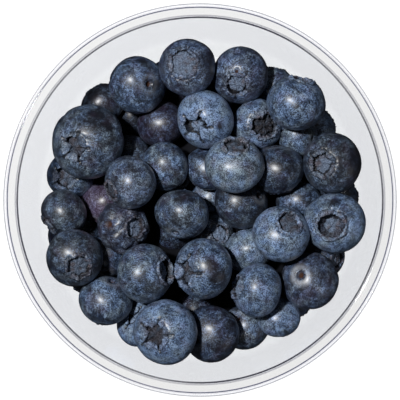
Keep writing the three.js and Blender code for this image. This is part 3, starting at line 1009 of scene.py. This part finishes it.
def blueberry_skin(name, worn_colour, gloss=1.0):
    """Fruit skin: a dark smooth cuticle under matt wax. gloss is 1 for dry, clean skin."""
    material, tree = new_material(name)
    grown = add_node(tree, "ShaderNodeAttribute", {"attribute_name": "grown_place"}).outputs["Vector"]
    marks = add_node(tree, "ShaderNodeAttribute", {"attribute_name": "crown_marks"})
    crown = add_node(tree, "ShaderNodeSeparateColor", Color=marks.outputs["Color"])
    skin = add_node(tree, "ShaderNodeAttribute", {"attribute_name": "skin_marks"})
    own = add_node(tree, "ShaderNodeSeparateColor", Color=skin.outputs["Color"])
    wax, scuffs = wax_share(tree, own, grown)
    flecks = scuffs["flecks"]

    slow = add_node(tree, "ShaderNodeTexNoise", Vector=grown, Scale=1 / TONE_SIZE, Detail=1.5).outputs["Fac"]
    slow = add_node(tree, "ShaderNodeMapRange", _0=slow, _1=0.36, _2=0.64, _3=-0.35, _4=0.6).outputs[0]
    tone = add_node(tree, "ShaderNodeMath", MULTIPLY_ADD, _0=skin.outputs["Alpha"], _1=0.65, _2=slow)
    tone = add_node(tree, "ShaderNodeClamp", _0=tone.outputs[0]).outputs[0]
    blue = add_node(tree, "ShaderNodeValToRGB", stops=[(0.0, worn_colour)] + BLUE_WAX, _0=wax).outputs[0]
    grey = add_node(tree, "ShaderNodeValToRGB", stops=[(0.0, worn_colour)] + GREY_WAX, _0=wax).outputs[0]
    colour = add_node(tree, "ShaderNodeMix", MIX, _0=tone, _6=blue, _7=grey).outputs[2]
    red = add_node(tree, "ShaderNodeMix", MIX, _0=wax, _6=linear("#2a1425"), _7=linear("#73597c")).outputs[2]
    blush = add_node(tree, "ShaderNodeTexNoise", Vector=grown, Scale=1 / BLUSH_SIZE, Detail=1.0)
    blush = add_node(tree, "ShaderNodeMapRange", _0=blush.outputs["Fac"], _1=0.5, _2=0.7, _3=0.0, _4=0.14)
    blush = add_node(tree, "ShaderNodeMath", ADD, _0=blush.outputs[0], _1=own.outputs["Green"]).outputs[0]
    dish = add_node(tree, "ShaderNodeValToRGB", stops=DISH_STOPS, _0=flecks).outputs[0]
    brown = add_node(tree, "ShaderNodeValToRGB", stops=BROWN_STOPS, _0=flecks).outputs[0]
    bark = add_node(tree, "ShaderNodeMix", MIX, _0=flecks, _6=linear("#0c0604"), _7=linear("#4a2e20"))
    covers = [  # where each colour lies over the ones before, how strongly, how it is mixed, and the colour
        (blush, 1.0, MIX, red),
        # The blue of the skin marks is the pale ring round the scar, partly a painted highlight.
        (own.outputs["Blue"], 1.0, MIX, linear("#a3a6ad")),
        (crown.outputs["Blue"], 0.8, MIX, dish),
        (crown.outputs["Red"], 0.75, MIX, brown),
        # The green of the crown marks is painted shade: it darkens gaps, grooves, creases and bare dishes.
        (crown.outputs["Green"], 0.9, DARKEN, linear("#1f1b1b")),
        (marks.outputs["Alpha"], 1.0, MIX, bark.outputs[2]),
    ]
    for where, strength, mode, shade in covers:
        share = add_node(tree, "ShaderNodeMath", MULTIPLY, _0=where, _1=strength).outputs[0]
        colour = add_node(tree, "ShaderNodeMix", mode, _0=share, _6=colour, _7=shade).outputs[2]

    roughness = add_node(tree, "ShaderNodeMapRange", _0=wax, _3=BARE_ROUGHNESS, _4=WAXED_ROUGHNESS)
    relief = add_node(tree, "ShaderNodeMath", ADD, _0=scuffs["blotches"], _1=scuffs["streaks"]).outputs[0]
    relief = add_node(tree, "ShaderNodeMath", ADD, _0=relief, _1=flecks).outputs[0]
    crumpled = add_node(tree, "ShaderNodeMath", ADD, _0=crown.outputs["Red"], _1=crown.outputs["Blue"])
    crumpled = add_node(tree, "ShaderNodeMath", ADD, _0=crumpled.outputs[0], _1=marks.outputs["Alpha"])
    crumpled = add_node(tree, "ShaderNodeClamp", _0=crumpled.outputs[0]).outputs[0]
    depth = add_node(tree, "ShaderNodeMath", MULTIPLY_ADD, _0=crumpled, _1=CROWN_RELIEF * MM,
                     _2=FINE_RELIEF * MM)
    bump = add_node(tree, "ShaderNodeBump", Strength=0.7, Distance=depth.outputs[0], Height=relief)
    roughness = add_node(tree, "ShaderNodeMath", MULTIPLY_ADD, _0=crumpled, _1=CRUMPLED_ROUGHNESS,
                         _2=roughness.outputs[0]).outputs[0]
    coat = add_node(tree, "ShaderNodeMapRange", _0=crumpled, _1=0.0, _2=0.7, _3=COAT * gloss, _4=0.0)
    shine = add_node(tree, "ShaderNodeMapRange", _0=crumpled, _3=0.5 * gloss, _4=0.2 * gloss)
    surface = add_node(tree, "ShaderNodeBsdfPrincipled", Base_Color=colour, Roughness=roughness,
                       IOR=SKIN_IOR, Specular_IOR_Level=shine.outputs[0], Coat_Weight=coat.outputs[0],
                       Coat_Roughness=0.3, Coat_IOR=1.4, Normal=bump.outputs[0])
    add_node(tree, "ShaderNodeOutputMaterial", Surface=surface.outputs[0])
    return material


bloomed_skin = blueberry_skin("blueberry_skin_with_bloom", "#111219")
rubbed_skin = blueberry_skin("rubbed_blueberry_skin", "#12131a")
dull_skin = blueberry_skin("dull_blueberry_skin_of_the_lower_layer", "#12131a", DULL_GLOSS)
for piece in berry_pieces:
    special = {"rubbed_blueberries": rubbed_skin, "floor_blueberries": dull_skin}
    piece.data.materials.append(special.get(piece.name, bloomed_skin))
print("the skin goes on", len(berry_pieces), "pieces")

# %% [markdown]
# ### Painted shade inside the heap
#
# What fills the heap is never lit, so its colour is painted shade: very dark, without any shine that
# would give the mound away, and a little uneven.

# %% Mix the painted shade inside the heap
SHADE_SIZE = 5.0
painted_shade_of_the_inside, tree = new_material("painted_shade_inside_the_heap")
place = add_node(tree, "ShaderNodeTexCoord").outputs["Object"]
uneven = add_node(tree, "ShaderNodeTexNoise", Vector=place, Scale=1 / (SHADE_SIZE * MM), Detail=3.0)
shade = add_node(tree, "ShaderNodeValToRGB", stops=[(0.35, "#060608"), (0.65, "#101116")],
                 _0=uneven.outputs["Fac"])
dull = add_node(tree, "ShaderNodeBsdfPrincipled", Base_Color=shade.outputs[0], Roughness=0.9,
                IOR=SKIN_IOR, Specular_IOR_Level=0.1)
add_node(tree, "ShaderNodeOutputMaterial", Surface=dull.outputs[0])
core.data.materials.append(painted_shade_of_the_inside)
print("the inside mound is dull")

# %% [markdown]
# ### Clear plastic sheet
#
# The tub is made of clear PET, IOR 1.57, thermoformed from sheet and very smooth. Real refraction
# through a sheet of half a millimetre moves the view by next to nothing, and it costs many samples.
# So the sheet is a transparent film with a faint grey tint, and a clear gloss on top that follows
# the Fresnel law. On the tub's floor the tint is darker, partly for the light that the sheet loses
# and partly as painted shade inside the tub. Clear sheet shows most where it bends, as light that
# enters there runs on inside it. Those lines of light and shade are painted into the film's tint:
# they are rings round the axis, so a colour ramp over the distance from the axis draws them, sharper
# than marks on the mesh could. A slow pattern makes them fade in places, because a drawn sheet is
# never evenly thick. Near the floor the gloss fades out, because the fruit shades the small bends of
# the foot.

# %% List the painted lines of the rim
PAINTED_RIM_LINES = [  # radius in millimetres and the painted light and shade of one face of the sheet, from the wall outwards
    (49.16, "#f4f4f6"),
    (49.22, "#50505a"),
    (49.6, "#50505a"),
    (49.68, "#e6e6e9"),
    (49.8, "#dadadd"),
    (50.1, "#dadadd"),
    (50.2, "#efefef"),
    (51.94, "#efefef"),
    (52.0, "#9c9eae"),
    (52.24, "#9c9eae"),
    (52.32, "#fafafc"),
    (53.15, "#fafafc"),
    (53.25, "#cfd0d5"),
    (53.5, "#cfd0d5"),
]
PLAIN_RIM_TINT = "#efefef"
# The floor's tint is darker than the wall's: partly the light the sheet loses, partly painted shade inside
# the tub.
FLOOR_TINT_AND_PAINTED_SHADE = "#ebeced"
WALL_TINT = "#fafafb"  # seen face on
LOW_WALL_TINT = "#f7f8fa"  # seen at a low angle
UNEVEN_SHEET = 45.0  # millimetres
PET_IOR = 1.57
GLOSS_ROUGHNESS = 0.06
MOST_GLOSS = 0.2
RIM_FROM = 46.6  # the rim's painted lines start at this height, or at the radius below
SKIRT_FROM = 50.5
SOFT_START = 0.2
GLOSS_FROM = 4.0  # heights between which the gloss and the wall's tint come in
GLOSS_FULL = 14.0
print(len(PAINTED_RIM_LINES), "stops across the rim")


# %% Mix the plastic
def clear_pet():
    """Clear PET sheet, thermoformed: it shows by the light and shade painted at its bends, and by its gloss.
    """
    material, tree = new_material("clear_PET_sheet")
    place = add_node(tree, "ShaderNodeTexCoord").outputs["Object"]
    parts = add_node(tree, "ShaderNodeSeparateXYZ", Vector=place)
    flat = add_node(tree, "ShaderNodeCombineXYZ", X=parts.outputs["X"], Y=parts.outputs["Y"]).outputs[0]
    radius = add_node(tree, "ShaderNodeVectorMath", {"operation": "LENGTH"}, _0=flat).outputs["Value"]
    # The rim's lines of light and shade are painted into the film's tint by a colour ramp over the radius.
    inner = PAINTED_RIM_LINES[0][0]
    outer = PAINTED_RIM_LINES[-1][0]
    across = add_node(tree, "ShaderNodeMapRange", _0=radius, _1=inner * MM, _2=outer * MM).outputs[0]
    stops = [((at - inner) / (outer - inner), colour) for at, colour in PAINTED_RIM_LINES]
    lines = add_node(tree, "ShaderNodeValToRGB", stops=stops, _0=across).outputs[0]
    uneven = add_node(tree, "ShaderNodeTexNoise", Vector=place, Scale=1 / (UNEVEN_SHEET * MM), Detail=1.0)
    uneven = uneven.outputs["Fac"]
    strength = add_node(tree, "ShaderNodeMapRange", _0=uneven, _1=0.35, _2=0.55, _3=0.8, _4=1.0)
    rim = add_node(tree, "ShaderNodeMix", MIX, _0=strength.outputs[0], _6=linear(PLAIN_RIM_TINT), _7=lines)
    low = add_node(tree, "ShaderNodeLayerWeight", Blend=0.5).outputs["Facing"]
    low = add_node(tree, "ShaderNodeMapRange", _0=low, _1=0.6, _2=0.88).outputs[0]
    tint = add_node(tree, "ShaderNodeMix", MIX, _0=low, _6=linear(WALL_TINT), _7=linear(LOW_WALL_TINT))
    high = add_node(tree, "ShaderNodeMapRange", _0=parts.outputs["Z"], _1=RIM_FROM * MM,
                    _2=(RIM_FROM + SOFT_START) * MM).outputs[0]
    far = add_node(tree, "ShaderNodeMapRange", _0=radius, _1=SKIRT_FROM * MM,
                   _2=(SKIRT_FROM + SOFT_START / 2) * MM).outputs[0]
    at_rim = add_node(tree, "ShaderNodeMath", MAXIMUM, _0=high, _1=far).outputs[0]
    above_floor = add_node(tree, "ShaderNodeMapRange", _0=parts.outputs["Z"], _1=GLOSS_FROM * MM,
                           _2=GLOSS_FULL * MM)
    tint = add_node(tree, "ShaderNodeMix", MIX, _0=at_rim, _6=tint.outputs[2], _7=rim.outputs[2])
    # The tub's floor gets the darker tint, partly painted shade.
    tint = add_node(tree, "ShaderNodeMix", MIX, _0=above_floor.outputs[0], _6=linear(FLOOR_TINT_AND_PAINTED_SHADE),
                    _7=tint.outputs[2])
    film = add_node(tree, "ShaderNodeBsdfTransparent", Color=tint.outputs[2])
    gloss = add_node(tree, "ShaderNodeBsdfGlossy", Color=(1, 1, 1, 1), Roughness=GLOSS_ROUGHNESS)
    share = add_node(tree, "ShaderNodeFresnel", IOR=PET_IOR).outputs[0]
    share = add_node(tree, "ShaderNodeMapRange", _0=share, _3=0.0, _4=MOST_GLOSS).outputs[0]
    share = add_node(tree, "ShaderNodeMath", MULTIPLY, _0=share, _1=above_floor.outputs[0]).outputs[0]
    surface = add_node(tree, "ShaderNodeMixShader", _0=share, _1=film.outputs[0], _2=gloss.outputs[0])
    add_node(tree, "ShaderNodeOutputMaterial", Surface=surface.outputs[0])
    return material


tub.data.materials.append(clear_pet())
print("the tub is clear PET")

# %% [markdown]
# ## Floor, light and camera
#
# The heap is seen from straight above, over a plain white floor. A small lamp from the upper left
# gives each berry a soft highlight and a dark edge, and throws its shadow on its neighbour. A weak,
# low one from the other side stands for light that a pale floor throws back. The floor is lit apart
# from the fruit, by light linking, so that it stays an even white.

# %% Lay the floor
FLOOR_SIZE = 6.0
floor_mesh = bpy.data.meshes.new("floor")
bm = bmesh.new()
bmesh.ops.create_grid(bm, x_segments=1, y_segments=1, size=FLOOR_SIZE / 2)
bm.to_mesh(floor_mesh)
bm.free()
floor = new_object("floor", floor_mesh)
white, tree = new_material("matt_white_floor")
matt = add_node(tree, "ShaderNodeBsdfDiffuse", Color=linear("#f4f4f4"))
add_node(tree, "ShaderNodeOutputMaterial", Surface=matt.outputs[0])
floor_mesh.materials.append(white)
floor.visible_diffuse = False
floor.visible_glossy = False
print("floor", FLOOR_SIZE, "m across")


# %% Set the lamps
def group(name, members):
    """A collection of objects that a lamp lights or that cast its shadows."""
    collection = bpy.data.collections.new(name)
    for member in members:
        collection.objects.link(member)
    return collection


def lamp(name, place, target, size, power, receivers, blockers=None):
    data = bpy.data.lights.new(name, "AREA")
    data.shape = "DISK"
    data.size = size
    data.energy = power
    item = new_object(name, data)
    item.location = place
    item.rotation_euler = (Vector(target) - Vector(place)).to_track_quat("-Z", "Y").to_euler()
    item.light_linking.receiver_collection = receivers
    if blockers:
        item.light_linking.blocker_collection = blockers
    return item


fruit = group("lit_as_fruit", berry_pieces + [core, tub])
under = group("lit_as_floor", [floor])
HEAP_MIDDLE = (0, 0, 0.03)
KEY_DISTANCE = 1.0
key_place = Vector(HEAP_MIDDLE) + facing(152, 21) * KEY_DISTANCE
lamp("key_lamp", key_place, HEAP_MIDDLE, size=0.07, power=13.5, receivers=fruit)
lamp("low_fill_lamp", (0.95, -0.6, 0.4), HEAP_MIDDLE, size=0.8, power=1.2, receivers=fruit)
lamp("floor_lamp", (-0.5, 0.5, 1.6), (0, 0, 0), size=1.5, power=49.0, receivers=under, blockers=under)

world = bpy.data.worlds.new("studio")
world.use_nodes = True
tree = world.node_tree
tree.nodes.clear()
sky = add_node(tree, "ShaderNodeBackground", Color=linear("#b4bac4"), Strength=0.045)
add_node(tree, "ShaderNodeOutputWorld", Surface=sky.outputs[0])
bpy.context.scene.world = world
bpy.context.scene.view_settings.view_transform = "Standard"

# %% Place the camera
CAMERA_ABOVE_RIM = 0.6
FRAME_WIDTH = 0.1081  # what the picture spans at the rim
camera_data = bpy.data.cameras.new("camera")
camera_data.sensor_width = 36
camera_data.lens = 36 * CAMERA_ABOVE_RIM / FRAME_WIDTH
camera = new_object("camera", camera_data)
camera.location = (0, 0, TUB_HEIGHT * MM + CAMERA_ABOVE_RIM)
bpy.context.scene.camera = camera
print("lens", round(camera_data.lens), "mm")
